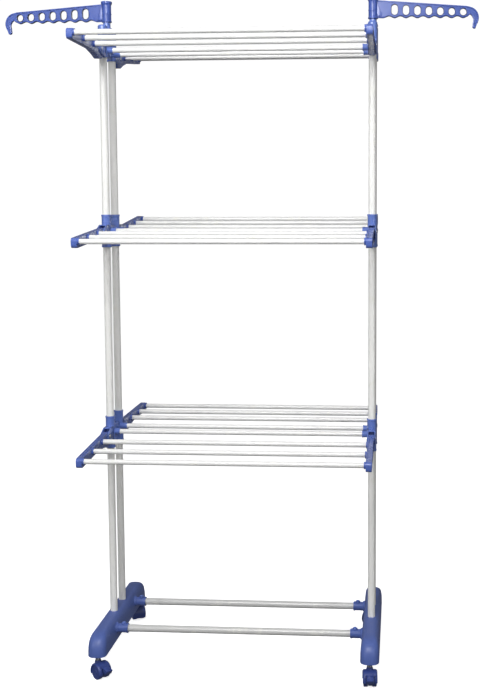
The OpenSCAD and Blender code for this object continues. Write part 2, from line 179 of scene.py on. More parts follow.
# a piece in the making: closed shells gathered in one mesh, in millimetres
class Shape:
    def __init__(self, place=None):
        self.mesh = bmesh.new()
        self.place = place or Matrix()

    def ring(self, points, place):
        whole = self.place @ place if place else self.place
        return [self.mesh.verts.new(whole @ Vector(p)) for p in points]

    def fill(self, rings):
        edges = []
        for ring in rings:
            for a, b in zip(ring, ring[1:] + ring[:1]):
                edges.append(self.mesh.edges.get((a, b)) or self.mesh.edges.new((a, b)))
        bmesh.ops.triangle_fill(self.mesh, use_beauty=True, edges=edges)

    # each chain is a row of rings with the same number of points
    # the first rings of all chains are closed by one surface, and so are the last ones
    def loft(self, chains, place=None, closed=False):
        firsts, lasts = [], []
        for chain in chains:
            rings = [self.ring(ring, place) for ring in chain]
            pairs = list(zip(rings, rings[1:]))
            if closed:
                pairs.append((rings[-1], rings[0]))
            for low, high in pairs:
                for i in range(len(low)):
                    j = (i + 1) % len(low)
                    self.mesh.faces.new((low[i], low[j], high[j], high[i]))
            firsts.append(rings[0])
            lasts.append(rings[-1])
        if not closed:
            self.fill(firsts)
            self.fill(lasts)

    # outlines given a thickness from low to high, with rounded edges
    def slab(self, loops, low, high, soft=0.8, place=None, steps=3):
        soft = min(soft, 0.49 * (high - low))
        levels = []
        for k in range(steps + 1):
            a = math.radians(90 * k / steps)
            levels.append((soft * (1 - math.sin(a)), low + soft * (1 - math.cos(a))))
        levels += [(depth, low + high - height) for depth, height in reversed(levels)]
        chains = []
        for loop in loops:
            chains.append([[(p.x, p.y, h) for p in inset(loop, d)] for d, h in levels])
        self.loft(chains, place)

    # a closed (radius, height) profile turned about the Z axis
    def turn(self, profile, place=None, steps=48, start=0, end=360):
        whole = end - start >= 360
        chain = []
        for i in range(steps if whole else steps + 1):
            a = math.radians(start + (end - start) * i / steps)
            chain.append([(p[0] * math.cos(a), p[0] * math.sin(a), p[1]) for p in profile])
        self.loft([chain], place, closed=whole)

    # a solid round part from its outer profile, listed from bottom to top
    def spindle(self, profile, place=None, steps=48):
        rings = []
        for radius, height in profile:
            turns = [2 * math.pi * i / steps for i in range(steps)]
            rings.append([(radius * math.cos(a), radius * math.sin(a), height) for a in turns])
        self.loft([rings], place)

    def piece(self, name, body, slotName, material, *nodes):
        bmesh.ops.remove_doubles(self.mesh, verts=self.mesh.verts, dist=meshing["weld"])
        bmesh.ops.recalc_face_normals(self.mesh, faces=self.mesh.faces)
        data = bpy.data.meshes.new(name)
        self.mesh.to_mesh(data)
        self.mesh.free()
        data.transform(Matrix.Scale(1 / toMm, 4))
        data.shade_smooth()
        data.set_sharp_from_angle(angle=math.radians(meshing["sharp"]))
        data.materials.append(material)
        made = bpy.data.objects.new(name, data)
        bpy.context.scene.collection.objects.link(made)
        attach(made, body)
        if nodes:
            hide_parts(*nodes)
        return made


# places: local axes laid on the frame's
def at(x, y, z):
    return Matrix.Translation((x, y, z))


def axes(right, up, out, origin):
    turned = Matrix((right, up, out)).transposed().to_4x4()
    turned.translation = Vector(origin)
    return turned


# local Z points along X, away from a side's posts and towards the middle of the rack
def inward(side, x, y, z):
    s = sides[side]
    return axes((0, s, 0), (0, 0, 1), (-s, 0, 0), (x, y, z))


# shader graphs: a Socket takes part in arithmetic, a Graph adds nodes to a material or a world
class Socket:
    def __init__(self, tree, output):
        self.tree = tree
        self.output = output

    def maths(self, operation, first, second=0.0):
        node = self.tree.nodes.new("ShaderNodeMath")
        node.operation = operation
        for entry, item in zip(node.inputs, (first, second)):
            if isinstance(item, Socket):
                self.tree.links.new(item.output, entry)
            else:
                entry.default_value = item
        return Socket(self.tree, node.outputs[0])

    def __add__(self, other):
        return self.maths("ADD", self, other)

    def __radd__(self, other):
        return self.maths("ADD", other, self)

    def __sub__(self, other):
        return self.maths("SUBTRACT", self, other)

    def __rsub__(self, other):
        return self.maths("SUBTRACT", other, self)

    def __mul__(self, other):
        return self.maths("MULTIPLY", self, other)

    def __rmul__(self, other):
        return self.maths("MULTIPLY", other, self)

    def __truediv__(self, other):
        return self.maths("DIVIDE", self, other)

    def __rtruediv__(self, other):
        return self.maths("DIVIDE", other, self)

    def __gt__(self, other):
        return self.maths("GREATER_THAN", self, other)

    def __abs__(self):
        return self.maths("ABSOLUTE", self)

    def __round__(self):
        return self.maths("ROUND", self)

    def atLeast(self, other):
        return self.maths("MAXIMUM", self, other)

    def atMost(self, other):
        return self.maths("MINIMUM", self, other)

    def root(self):
        return self.maths("SQRT", self)

    def cosine(self):
        return self.maths("COSINE", self)


class Graph:
    def __init__(self, owner, shader="Principled BSDF"):
        owner.use_nodes = True
        self.owner = owner
        self.tree = owner.node_tree
        self.shader = self.tree.nodes[shader]

    # a new node from its type, its settings and the values or links of its sockets
    def add(self, kind, settings, values, output=0):
        node = self.tree.nodes.new(kind)
        for key, item in settings.items():
            if key == "points":
                self.setPoints(node.mapping, item)
            else:
                setattr(node, key, item)
        for key, item in values.items():
            self.connect(node.inputs[key], item)
        return Socket(self.tree, node.outputs[output])

    def connect(self, entry, item):
        if isinstance(item, Socket):
            self.tree.links.new(item.output, entry)
        else:
            entry.default_value = item

    # the points of a curve node, which starts with one at each end
    def setPoints(self, mapping, points):
        curve = mapping.curves[0]
        curve.points[0].location = points[0]
        curve.points[1].location = points[-1]
        for x, y in points[1:-1]:
            curve.points.new(x, y)
        mapping.update()

    def feed(self, entry, item):
        self.connect(self.shader.inputs[entry], item)

    def place(self, kind="Object"):
        return self.add("ShaderNodeTexCoord", {}, {}, kind)

    # object coordinates, squeezed so that patterns run along an axis
    def stretched(self, scales):
        return self.add("ShaderNodeMapping", {}, {"Vector": self.place(), "Scale": scales})

    def part(self, vector, index):
        return self.add("ShaderNodeSeparateXYZ", {}, {"Vector": vector}, index)

    def noise(self, place, scale, detail=2.0, distortion=0.0):
        values = {"Vector": place, "Scale": scale, "Detail": detail, "Distortion": distortion}
        return self.add("ShaderNodeTexNoise", {}, values)

    def clipped(self, value, low, high):
        return self.add("ShaderNodeMapRange", {}, {"Value": value, "From Min": low, "From Max": high})

    def blend(self, factor, first, second):
        values = {0: factor, 6: first, 7: second}
        return self.add("ShaderNodeMix", {"data_type": "RGBA"}, values, 2)

    def relief(self, height, strength, distance=0.0004):
        values = {"Height": height, "Strength": strength, "Distance": distance}
        self.feed("Normal", self.add("ShaderNodeBump", {}, values))


def newMaterial(name):
    return Graph(bpy.data.materials.new(name))


def shade(colour, factor):
    return (*[c * factor for c in colour], 1)


plasticLooks = {
    "bluePlastic": {"colour": (0.108, 0.176, 0.500), "roughness": 0.27, "grain": 0.10, "coat": 0.40},
    # armPlastic is bluePlastic made darker: painted shade for the arms, whose sides fall in shade
    "armPlastic": {"colour": (0.072, 0.122, 0.410), "roughness": 0.27, "grain": 0.10, "coat": 0.40},
    "hangerPlastic": {"colour": (0.048, 0.090, 0.350), "roughness": 0.30, "grain": 0.10, "coat": 0.15},
    "footPlastic": {"colour": (0.080, 0.128, 0.385), "roughness": 0.42, "grain": 0.22, "coat": 0.0},
    "castorPlastic": {"colour": (0.034, 0.058, 0.235), "roughness": 0.38, "grain": 0.18, "coat": 0.0},
}


plasticTexture = {  # scale, detail and distortion of each pattern
    "drift": (7.0, 3.0),
    "flow": (55.0, 4.0, 1.8),
    "skin": (1400.0, 2.0),
    "patches": (160.0, 5.0, 0.4),
    "scratches": (2600.0, 70.0, 240.0),  # along each axis
}


# moulded plastic: slow drift of the pigment, flow marks, paler rubbed edges, fine skin and hair scratches,
# and a painted shade line where a mask is given
def plastic(name, paintedShade=None):
    look = plasticLooks[name]
    colour = look["colour"]
    g = newMaterial(name)
    spot = g.place()
    patterns = ("drift", "flow", "skin", "patches")
    drift, flow, skin, patches = (g.noise(spot, *plasticTexture[key]) for key in patterns)
    scratches = g.noise(g.stretched(plasticTexture["scratches"]), 1.0, 1.0) > 0.70
    edges = g.clipped(g.add("ShaderNodeNewGeometry", {}, {}, "Pointiness"), 0.515, 0.60)
    rubbed = edges * g.clipped(patches, 0.38, 0.62)
    tint = g.blend(drift, shade(colour, 0.90), shade(colour, 1.10))
    tint = g.blend(g.clipped(flow, 0.35, 0.75) * 0.30, tint, shade(colour, 1.18))
    tint = g.blend(rubbed * 0.30, tint, shade(colour, 1.7))
    # painted shade: where a mask is given, the colour is darkened to a deep shade of itself
    if paintedShade:
        tint = g.blend(paintedShade(g, spot), tint, shade(colour, 0.24))
    g.feed("Base Color", tint)
    g.feed("Roughness", look["roughness"] + (drift - 0.5) * 0.10 + scratches * 0.12 + (patches - 0.5) * 0.08)
    g.relief(skin * look["grain"] + flow * 0.25 - scratches * 0.10, 0.35)
    g.feed("IOR", 1.5)
    g.feed("Coat Weight", look["coat"])
    g.feed("Coat Roughness", 0.14)
    return g.owner


coatLooks = {  # draw squeezes the draw lines to run along the tube
    # tubeCoat is the white coat made darker: painted shade for the cross tubes low by the floor
    "tubeCoat": {"colour": (0.600, 0.600, 0.592), "roughness": 0.30, "draw": (6.0, 900.0, 900.0)},
    "postCoat": {"colour": (0.830, 0.828, 0.808), "roughness": 0.30, "draw": (900.0, 900.0, 6.0)},
    "rodCoat": {"colour": (0.780, 0.780, 0.772), "roughness": 0.27, "draw": (6.0, 900.0, 900.0)},
}
coatMarks = {"handled": (0.80, 0.795, 0.735), "speck": (0.52, 0.51, 0.47)}


# white powder coat on drawn steel tube: orange peel, faint draw lines, a few specks and handling marks
def coat(name):
    look = coatLooks[name]
    g = newMaterial(name)
    spot = g.place()
    peel = g.noise(spot, 620.0, 2.0)
    lines = g.noise(g.stretched(look["draw"]), 1.0, 2.0)
    marks = g.clipped(g.noise(spot, 38.0, 5.0, 0.6), 0.56, 0.80)
    specks = g.noise(spot, 950.0, 0.0) > 0.79
    tint = g.blend(marks, shade(look["colour"], 1.02), shade(coatMarks["handled"], 1.0))
    tint = g.blend(specks * 0.35, tint, shade(coatMarks["speck"], 1.0))
    g.feed("Base Color", tint)
    g.feed("Roughness", look["roughness"] + marks * 0.14 + (peel - 0.5) * 0.08)
    g.relief(peel * 0.5 + lines * 0.25 + specks * 0.3, 0.22)
    g.feed("Coat Weight", 0.25)
    g.feed("Coat Roughness", 0.12)
    return g.owner


steelLook = {"colour": (0.56, 0.57, 0.58), "roughness": 0.27, "rings": (14.0, 14.0, 3200.0)}


# zinc-plated steel: bright, with turning rings and dull patches
def steel():
    look = steelLook
    g = newMaterial("zincSteel")
    spot = g.place()
    rings = g.noise(g.stretched(look["rings"]), 1.0, 1.0)
    dull = g.noise(spot, 260.0, 4.0, 0.8)
    g.feed("Base Color", g.blend(dull, shade(look["colour"], 0.75), shade(look["colour"], 1.2)))
    g.feed("Metallic", 0.85 + dull * 0.15)
    g.feed("Roughness", look["roughness"] + (dull - 0.5) * 0.22)
    g.relief(rings, 0.25, 0.0002)
    return g.owner


blue = plastic("bluePlastic")
# the arms get the darkened blue, painted shade
armBlue = plastic("armPlastic")
footBlue = plastic("footPlastic")
castorBlue = plastic("castorPlastic")
rodWhite = coat("rodCoat")
zinc = steel()
print("materials made")


# tubes, rods, stems and pins keep their exact shapes and get their finish here
finishes = {
    "posts_": coat("postCoat"),
    # the cross tubes get the darkened white coat, painted shade
    "cross_tube_": coat("tubeCoat"),
    "centre_rods_": rodWhite,
    "wing_rods_": rodWhite,
    "castor_stem_": zinc,
    "hinge_pins_": zinc,
}
for start, material in finishes.items():
    for name, node in frame["nodes"].items():
        if name.startswith(start):
            node.data.materials.clear()
            node.data.materials.append(material)
print("tubes, rods and pins finished")


# a hollow round socket, open at its upper end, with a rounded lip
def socketProfile(outer, bore, low, high, depth, lip, lipHeight=4.0):
    start = high - lipHeight
    points = [(nearAxis, low), (outer, low), (outer, start - lip), (outer + lip, start), (outer + lip, high)]
    points += [(bore, high), (bore, high - depth), (nearAxis, high - depth)]
    return soften(points, 0.7, closed=False)


footShape = {
    "wall": 2.6,  # thickness of the shell
    "shoulder": 3.4,  # how square the cross-section is
    "arch": 2.3,  # how the ends come down
    "nose": 12.0,  # how blunt the ends are
    "levels": 18,
    "collar": 4.4,  # reach of the ring round each post
    "stemBoss": 34.0,  # height of the boss round each castor stem
    "socketWall": 2.5,
    "socketDepth": 14.0,
    "socketLip": 0.9,
    "ribs": 6,
    "ribSpread": 0.86,  # of the length
}


def footRing(halfWidth, halfLength, share, height, shrink):
    f = footShape
    width = (halfWidth - shrink) * (1 - share ** f["shoulder"]) ** (1 / f["shoulder"])
    length = (halfLength - shrink) * (1 - share ** f["arch"]) ** (1 / f["nose"])
    outline = roundedBox(width, length, 0.82 * width, 8)
    return [(p.x, p.y, height) for p in outline]


# the arched shell: up its inner side, round the rim and over its outer side
def addFootShell(shape, halfWidth, halfLength, tall):
    wall = footShape["wall"]
    levels = footShape["levels"]
    shares = [math.sin(math.radians(89.0 * k / levels)) for k in range(levels + 1)]
    rings = [footRing(halfWidth, halfLength, q, q * (tall - wall), wall) for q in reversed(shares)]
    rings += [footRing(halfWidth, halfLength, q, q * tall, 0) for q in shares]
    rim = footRing(halfWidth, halfLength, 0, 0, wall * 0.8)
    edge = footRing(halfWidth, halfLength, 0, 0, wall * 0.2)
    lifted = [[(x, y, z + 0.6) for x, y, z in ring] for ring in rings[levels:levels + 2]]
    rings[levels:levels + 2] = [lifted[0], rim, edge, lifted[1]]
    shape.loft([rings])


def addFootRibs(shape, halfWidth, halfLength, tall):
    ribs = footShape["ribs"]
    half = halfWidth - footShape["wall"] * 0.6
    corners = [(-half, 6), (half, 6), (half, tall - 16), (half - 9, tall - 4), (-half + 9, tall - 4)]
    web = soften(corners + [(-half, tall - 16)], 3)
    for i in range(ribs):
        y = halfLength * (2 * (i + 0.5) / ribs - 1) * footShape["ribSpread"]
        shape.slab([web], -1.0, 1.0, 0.4, axes((1, 0, 0), (0, 0, 1), (0, -1, 0), (0, y, 0)))


# the socket of a cross tube, its root on the shell and the guide of its snap button
def addFootSocket(shape, end, side, floor, halfWidth, reach):
    f = footShape
    tube = middle("cross_tube_" + end)
    button = middle("lock_button_" + end[0] + side[0])
    up = tube.z - floor
    spot = inward(side, 0, tube.y, up)
    bore = crossRadius + 0.1
    outer = bore + f["socketWall"]
    shape.turn(socketProfile(outer, bore, 12, reach, reach - f["socketDepth"], f["socketLip"]), spot)
    root = [(outer - 0.6, halfWidth - 3), (outer + 4.5, halfWidth - 3)]
    root += [(outer + 1.2, halfWidth + 3), (outer - 0.6, halfWidth + 4)]
    shape.turn(soften(root, 1.2), spot)
    start = crossRadius + 0.3
    guide = [(5.3, start), (7.4, start), (7.0, outer + 2.2), (5.3, outer + 2.2)]
    shape.turn(soften(guide, 0.5), at(button.x - sides[side] * sideX, tube.y, up), 32)


def makeFoot(side):
    f = footShape
    s = sides[side]
    low, high = box("foot_" + side)
    outerX = max(abs(low.x), abs(high.x))
    innerX = min(abs(low.x), abs(high.x))
    halfWidth = outerX - sideX
    tall = high.z - low.z
    shape = Shape(at(s * sideX, 0, low.z))
    addFootShell(shape, halfWidth, high.y, tall)
    inner = postRadius + 0.12
    collar = [(inner, tall - 6), (postRadius + f["collar"], tall - 6)]
    collar += [(postRadius + 3.0, tall), (inner, tall)]
    for y in (-postY, postY):
        shape.turn(soften(collar, 0.7), at(0, y, 0))
    boss = [(4.1, 1.0), (9.5, 1.0), (8.4, f["stemBoss"]), (4.1, f["stemBoss"])]
    stems = [middle(name) for name in frame["nodes"] if name.startswith("castor_stem_")]
    for stem in stems:
        if stem.x * s > 0:
            shape.turn(soften(boss, 0.6), at(0, stem.y, 0), 32)
    addFootRibs(shape, halfWidth, high.y, tall)
    for end in ends:
        addFootSocket(shape, end, side, low.z, halfWidth, sideX - innerX)
    shape.piece("footShell_" + side, "root", "blue_plastic", footBlue, "foot_" + side)


for side in sides:
    makeFoot(side)
print("feet made")


buttonShape = {"dome": 2.6, "groove": 0.7, "grooveDrop": 1.6}


def makeButton(end, side):
    b = buttonShape
    corner = end[0] + side[0]
    low, high = box("lock_button_" + corner)
    radius = (high.x - low.x) / 2
    tall = high.z - low.z
    waist = radius - b["groove"]
    lip = tall - b["dome"] - b["grooveDrop"]
    profile = [(radius - 0.6, 0), (radius, 0.6), (radius, lip), (waist, lip + 0.3)]
    profile += [(waist, lip + 1.0), (radius - 0.1, lip + 1.3)]
    for degrees in range(0, 90, 11):
        a = math.radians(degrees)
        profile.append((radius * math.cos(a), tall - b["dome"] * (1 - math.sin(a))))
    shape = Shape(at((low.x + high.x) / 2, (low.y + high.y) / 2, low.z))
    shape.spindle(profile, steps=32)
    shape.piece("snapButton_" + corner, "button_" + corner, "blue_plastic", blue, "lock_button_" + corner)


for end in ends:
    for side in sides:
        makeButton(end, side)
print("snap buttons made")


bracketShape = {
    "wall": 2.4,  # of the sockets
    "lip": 0.8,
    "lipHeight": 4.0,
    "boreDepth": 32.0,
    "upperSocket": (-18.0, 62.0),  # heights above the middle rods
    "web": (-20.0, 14.0),
    "upperWeb": (-14.0, 46.0),
    "webThickness": 10.0,
    "ribs": (-18, 0, 18),
    "cheekIn": 7.6,  # half the slot between the cheeks
    "cheekOut": 10.4,
    "cheekRadius": 14.0,
    "roofTop": 18.0,  # above the hinge pin
    "roofUnder": 15.0,
    "roofFront": -14.5,  # along the arm, from the hinge pin
    "stopFront": -18.0,
    "pocket": -28.5,  # how far the opening over the arm's root goes back
    "back": -37.0,
    "hoodLow": -18.0,
    "heel": -31.0,
    "bossWall": 1.9,
    "bossEnd": 25.0,
}
armShape = {
    "top": 11.0,
    "bottom": -13.0,
    "heel": -27.0,
    "root": -28.0,
    "tipRadius": 8.0,
    "rodHeight": 2.0,  # of the rods above the hinge pin
    "pitch": 84.0,
    "bossLength": 4.0,
    "groove": 1.3,
    "ribs": 8,
}


# a wing's hinge, how far along its arm the outermost rod lies, and its tilt at rest
def wingRest(tier, end):
    e = ends[end]
    node = frame["nodes"]["wing_rods_" + tier + "_" + end]
    points = [v.co * toMm for v in node.data.vertices]
    far = max(p.y * e for p in points)
    rod = [p.z for p in points if p.y * e > far - 2 * rodRadius]
    hinge = jointPlace["fold_" + tier + "_" + end]
    run = far - rodRadius - hinge.y * e
    rise = (max(rod) + min(rod)) / 2 - hinge.z
    reach = math.hypot(run, rise)
    tilt = math.atan2(rise, run) - math.asin(armShape["rodHeight"] / reach)
    return hinge, math.sqrt(reach ** 2 - armShape["rodHeight"] ** 2), tilt


# local X runs out along the wing, local Y up and local Z across, towards the middle of the rack
def wingPlace(side, hinge, end, tilt):
    e = ends[end]
    out = Vector((0, e * math.cos(tilt), math.sin(tilt)))
    up = Vector((0, -e * math.sin(tilt), math.cos(tilt)))
    return axes(out, up, (-sides[side], 0, 0), (sides[side] * sideX, hinge.y, hinge.z))


def hoodOutline():
    b = bracketShape
    left = [(b["back"], b["roofTop"]), (b["back"], b["hoodLow"]), (-9, -b["cheekRadius"] - 1)]
    nose = arc((0, 0), b["cheekRadius"], -76, 34, 12)
    return soften(left + nose + [(b["roofFront"] + 1, b["roofTop"])], 1.6)


# the cheeks round an arm's root, the roof over it with the stop below, and a ring round each end of the pin
def addHood(shape, side, hinge, end, tilt):
    b = bracketShape
    place = wingPlace(side, hinge, end, 0.0)
    for low, high in ((b["cheekIn"], b["cheekOut"]), (-b["cheekOut"], -b["cheekIn"])):
        shape.slab([hoodOutline()], low, high, 0.7, place)
    contact = b["stopFront"] if tilt > 0.001 else armShape["root"]
    stop = armShape["top"] / math.cos(tilt) + contact * math.tan(tilt) + 0.3
    roof = [(b["back"], b["roofTop"]), (b["back"], b["hoodLow"]), (b["heel"], b["hoodLow"])]
    roof += [(b["heel"], stop), (b["pocket"], stop), (b["pocket"], b["roofUnder"])]
    roof += [(b["roofFront"], b["roofUnder"]), (b["roofFront"], b["roofTop"])]
    shape.slab([soften(roof, 0.8)], -b["cheekOut"], b["cheekOut"], 0.9, place)
    ring = soften([(5.2, -0.5), (7.6, -0.5), (7.0, 0.7), (5.6, 0.7)], 0.3)
    shape.turn(ring, place @ at(0, 0, -b["cheekOut"]) @ Matrix.Rotation(math.pi, 4, "X"), 32)
    shape.turn(ring, place @ at(0, 0, b["cheekOut"]), 32)


def addRodBosses(shape, side, z):
    b = bracketShape
    outer = rodRadius + b["bossWall"]
    depth = b["bossEnd"] - postRadius - 3
    profile = socketProfile(outer, rodRadius + 0.1, 0, b["bossEnd"], depth, 0.7, 3.0)
    for y in (-rodY, rodY):
        shape.turn(profile, inward(side, sides[side] * sideX, y, z), 40)


# a post socket: open at both ends, or closed above where nothing stands on it
def addSocket(shape, place, low, high, isOpen):
    b = bracketShape
    outer = postRadius + b["wall"]
    lip = outer + b["lip"]
    bore = postRadius + 0.1
    below = low + b["lipHeight"]
    profile = [(bore, low), (lip, low), (lip, below), (outer, below + b["lip"])]
    if isOpen:
        above = high - b["lipHeight"]
        stop = high - b["boreDepth"]
        profile += [(outer, above - b["lip"]), (lip, above), (lip, high), (bore, high)]
        profile += [(bore, stop), (nearAxis, stop)]
    else:
        profile += [(outer, high - 3), (outer - 2.4, high), (nearAxis, high + 0.5)]
    profile += [(nearAxis, low + b["boreDepth"]), (bore, low + b["boreDepth"])]
    shape.turn(soften(profile, 0.6), place)


# the plate between the two sockets, with its ribs
def addWeb(shape, x, z, low, high):
    b = bracketShape
    half = b["webThickness"] / 2
    halfTall = (high - low) / 2
    height = z + (low + high) / 2
    web = roundedBox(postY - 8, halfTall, 2.5)
    shape.slab([web], -half, half, 1.2, axes((0, 1, 0), (0, 0, 1), (1, 0, 0), (x, 0, height)))
    rib = roundedBox(1.1, halfTall - 2, 1.0)
    for y in b["ribs"]:
        spot = axes((0, 1, 0), (0, 0, 1), (1, 0, 0), (x, y, height))
        shape.slab([rib], -half - 1.4, half + 1.4, 0.6, spot)


columnShape = {
    "radius": 9.2,
    "flare": 3.4,
    "flareLow": 52.0,
    "flareHigh": 61.2,
    "spigot": 7.0,
    "spigotLength": 44.0,
}


# the column that carries a hanger, with its flared shoulder and the spigot inside the sleeve
def addColumn(shape, x, z, side):
    c = columnShape
    points = [v.co * toMm for v in frame["nodes"]["hanger_" + side].data.vertices]
    shoulder = min(p.z for p in points if abs(p.x - x) < 8) - z - 0.4
    tip = shoulder + c["spigotLength"]
    wide = c["radius"] + c["flare"]
    profile = [(c["radius"], -10), (c["radius"], c["flareLow"]), (wide, c["flareLow"] + 4)]
    profile += [(wide, c["flareHigh"]), (c["radius"], c["flareHigh"] + 0.8), (c["radius"], shoulder)]
    profile += [(c["spigot"], shoulder), (c["spigot"], tip - 1), (c["spigot"] - 1, tip)]
    shape.spindle(soften(profile, 0.8, closed=False), at(x, 0, z))


def makeBracket(tier, side):
    b = bracketShape
    x = sides[side] * sideX
    z = tierZ[tier]
    name = "bracket_" + tier + "_" + side
    low, high = box(name)
    upper = tier == "upper"
    socketEnds = b["upperSocket"] if upper else (low.z - z, high.z - z)
    shape = Shape()
    for y in (-postY, postY):
        addSocket(shape, at(x, y, z), *socketEnds, not upper)
    for end in ends:
        hinge, _, tilt = wingRest(tier, end)
        addHood(shape, side, hinge, end, tilt)
    addWeb(shape, x, z, *(b["upperWeb"] if upper else b["web"]))
    addRodBosses(shape, side, z)
    if upper:
        addColumn(shape, x, z, side)
    shape.piece("bracketShell_" + tier + "_" + side, "root", "blue_plastic", blue, name)


for tier in tiers:
    for side in sides:
        makeBracket(tier, side)
print("brackets made")


# the side view of an arm, its upper edge lowered by drop between the root and the tip
def armOutline(reach, drop):
    a = armShape
    tip = reach + 10
    r = a["tipRadius"]
    first = reach - 2 * a["pitch"]
    top, bottom, root, heel = a["top"], a["bottom"], a["root"], a["heel"]
    under = [(root, 0), (root, -4), (-20, -18), (-6, heel + 2), (12, heel)]
    under += [(first - 20, -20), (first + 26, bottom)]
    line = soften(under, 6, closed=False)
    line += arc((tip - r, bottom + r), r, -90, 0, 8) + arc((tip - r, top - r), r, 0, 90, 8)
    over = [(tip - 18, top), (tip - 20, top - drop), (14, top - drop), (12, top)]
    over += [(2, top), (-12, 1.5), (root + 3, 1.5)]
    return line + [Vector(p) for p in over]


# across the arm: where each ring lies, how far it is drawn in and how deep the grooves are there
def armStations(half):
    groove = armShape["groove"]
    stations = [(4.0 - half, 2.6, 0), (0.4 - half, 2.2, 0), (-half, 1.8, 0), (-half, 0.5, 0)]
    stations += [(0.6 - half, 0, 0), (2.6 - half, 0, 0), (2.9 - half, 0, groove), (-2.2, 0, groove)]
    stations += [(-1.9, 0, 0), (1.9, 0, 0), (2.2, 0, groove), (half - 2.9, 0, groove)]
    stations += [(half - 2.6, 0, 0), (half - 0.6, 0, 0), (half - 0.15, 0.3, 0), (half, 0.9, 0)]
    return stations


# the boss that holds the end of a rod, the ramp up to it and the plug on the arm's outer side
def addRodHolder(shape, u, half):
    a = armShape
    up = a["rodHeight"]
    outer = rodRadius + bracketShape["bossWall"]
    end = half + a["bossLength"]
    shape.turn(socketProfile(outer, rodRadius + 0.1, half - 1, end, 8.5, 0.7, 2.0), at(u, up, 0), 40)
    ramp = soften([(u - 34, half - 1.5), (u, half - 1.5), (u, end - 2.5)], 1.5)
    shape.slab([ramp], -3, 5, 0.6, axes((1, 0, 0), (0, 0, 1), (0, -1, 0), (0, 2 * up - 2, 0)))
    plug = [(nearAxis, 2.2 - half), (rodRadius - 1.4, 2.2 - half), (rodRadius - 1, 0.6 - half)]
    plug += [(outer, 1.2 - half), (outer, 3.0 - half), (nearAxis, 3.0 - half)]
    shape.turn(soften(plug, 0.4), at(u, up, 0), 36)


def makeArm(tier, end, side):
    a = armShape
    hinge, reach, tilt = wingRest(tier, end)
    wing = tier + "_" + end
    name = wing + "_" + side
    low, high = box("arm_" + name)
    half = max(abs(low.x), abs(high.x)) - sideX
    shape = Shape(wingPlace(side, hinge, end, tilt))
    rings = []
    for across, depth, groove in armStations(half):
        outline = inset(armOutline(reach, groove + 0.01), depth)
        rings.append([(p.x, p.y, across) for p in outline])
    shape.loft([rings])
    for i in range(3):
        addRodHolder(shape, reach - i * a["pitch"], half)
    for i in range(a["ribs"]):
        u = 26 + i * (reach - 40) / a["ribs"]
        rib = [Vector(p) for p in ((u - 0.8, -8.5), (u + 0.8, -8.5), (u + 0.8, 7.0), (u - 0.8, 7.0))]
        shape.slab([rib], -half + 0.8, -half + 5, 0.3)
    shape.piece("armShell_" + name, "wing_" + wing, "blue_plastic", armBlue, "arm_" + name)


for tier in tiers:
    for end in ends:
        for side in sides:
            makeArm(tier, end, side)
print("wing arms made")


hangerShape = {
    "web": 5.0,  # thickness of the flat part
    "rim": 8.4,  # thickness of the border and of the rings round the holes
    "border": 3.2,
    "ring": 1.8,
    "topEdge": (45.5, 18.5),  # height of the upper edge at the sleeve, and its fall
    "lowEdge": (4.4, 80.0),  # height of the lower edge at the sleeve, and the run over which it falls by 1
    "wave": 2.4,  # depth of the scallops
    "scallopEnd": 233.0,  # where the hook begins
    "shadeLineRoot": 34.0,  # where the painted shade along the lower edge begins
    "holes": 7,
    "pitch": 28.5,
    "firstHole": 54.0,
    "holeHeight": (22.0, 8.0),  # of the first hole, and the fall to the last
    "holeWidth": 15.4,
    "holeTall": (25.5, 16.5),
    "paintedShade": (0.4, 2.0),  # how far the painted shade line reaches in from the holes and the lower edge
    "sleeveTall": 52.0,
    "sleeveRadius": 11.6,
    "sleeveRim": 14.0,
    "bore": 7.05,
}
hangerFloor = jointPlace["swing_hanger_left"].z


# local X runs out along the arm, local Y up from the sleeve's lower end
def hangerOutline(reach):
    h = hangerShape
    last = h["firstHole"] + (h["holes"] - 1) * h["pitch"]
    topStart, topFall = h["topEdge"]
    lowStart, lowRun = h["lowEdge"]

    def top(x):
        return topStart - (x - 14) * topFall / (last + 13)

    def low(x):
        return lowStart - x / lowRun - h["wave"] * math.cos(2 * math.pi * (x - h["firstHole"]) / h["pitch"])

    steps = int((last + 12 - h["firstHole"] + 16) / (h["pitch"] / 12))
    scallops = [last + 12 - i * h["pitch"] / 12 for i in range(steps + 1)]
    line = [Vector((2, 3)), Vector((26, 1.6))]
    line += [Vector((x, low(x))) for x in reversed(scallops)]
    line += arc((reach - 30, -6), 16, 62, -20, 10)
    line += arc((reach - 11, -22), 5, -190, -55, 7)
    line += arc((reach - 28, -1), 28, -35, 78, 16)
    line += [Vector((x, top(x))) for x in (last + 8, 160, 100, 50)]
    return line + [Vector((14, topStart)), Vector((2, 46.2))]


# painted shade: a dark line painted round the holes and along the scalloped lower edge, standing in for the
# shade at their rims
def hangerPaintedShade(g, spot):
    h = hangerShape
    firstTall, lastTall = h["holeTall"]
    height, fall = h["holeHeight"]
    lowStart, lowRun = h["lowEdge"]
    out = abs(g.part(spot, 0)) * toMm - sideX
    up = g.part(spot, 2) * toMm - hangerFloor
    cells = (out - h["firstHole"]) / h["pitch"]
    cell = round(cells).atMost(h["holes"] - 1).atLeast(0)
    share = cell / (h["holes"] - 1)
    across = (cells - cell) * h["pitch"]
    straight = (firstTall - h["holeWidth"]) / 2 - share * ((firstTall - lastTall) / 2)
    along = (abs(up - height + share * fall) - straight).atLeast(0)
    ring = (across * across + along * along).root() - h["holeWidth"] / 2
    wave = (cells * (2 * math.pi)).cosine()
    lower = up - lowStart + out / lowRun + wave * h["wave"]
    lower = lower.atLeast((h["shadeLineRoot"] - out) * 0.5).atLeast((out - h["scallopEnd"]) * 0.5)
    return 1.0 - g.clipped(ring.atMost(lower), *h["paintedShade"])


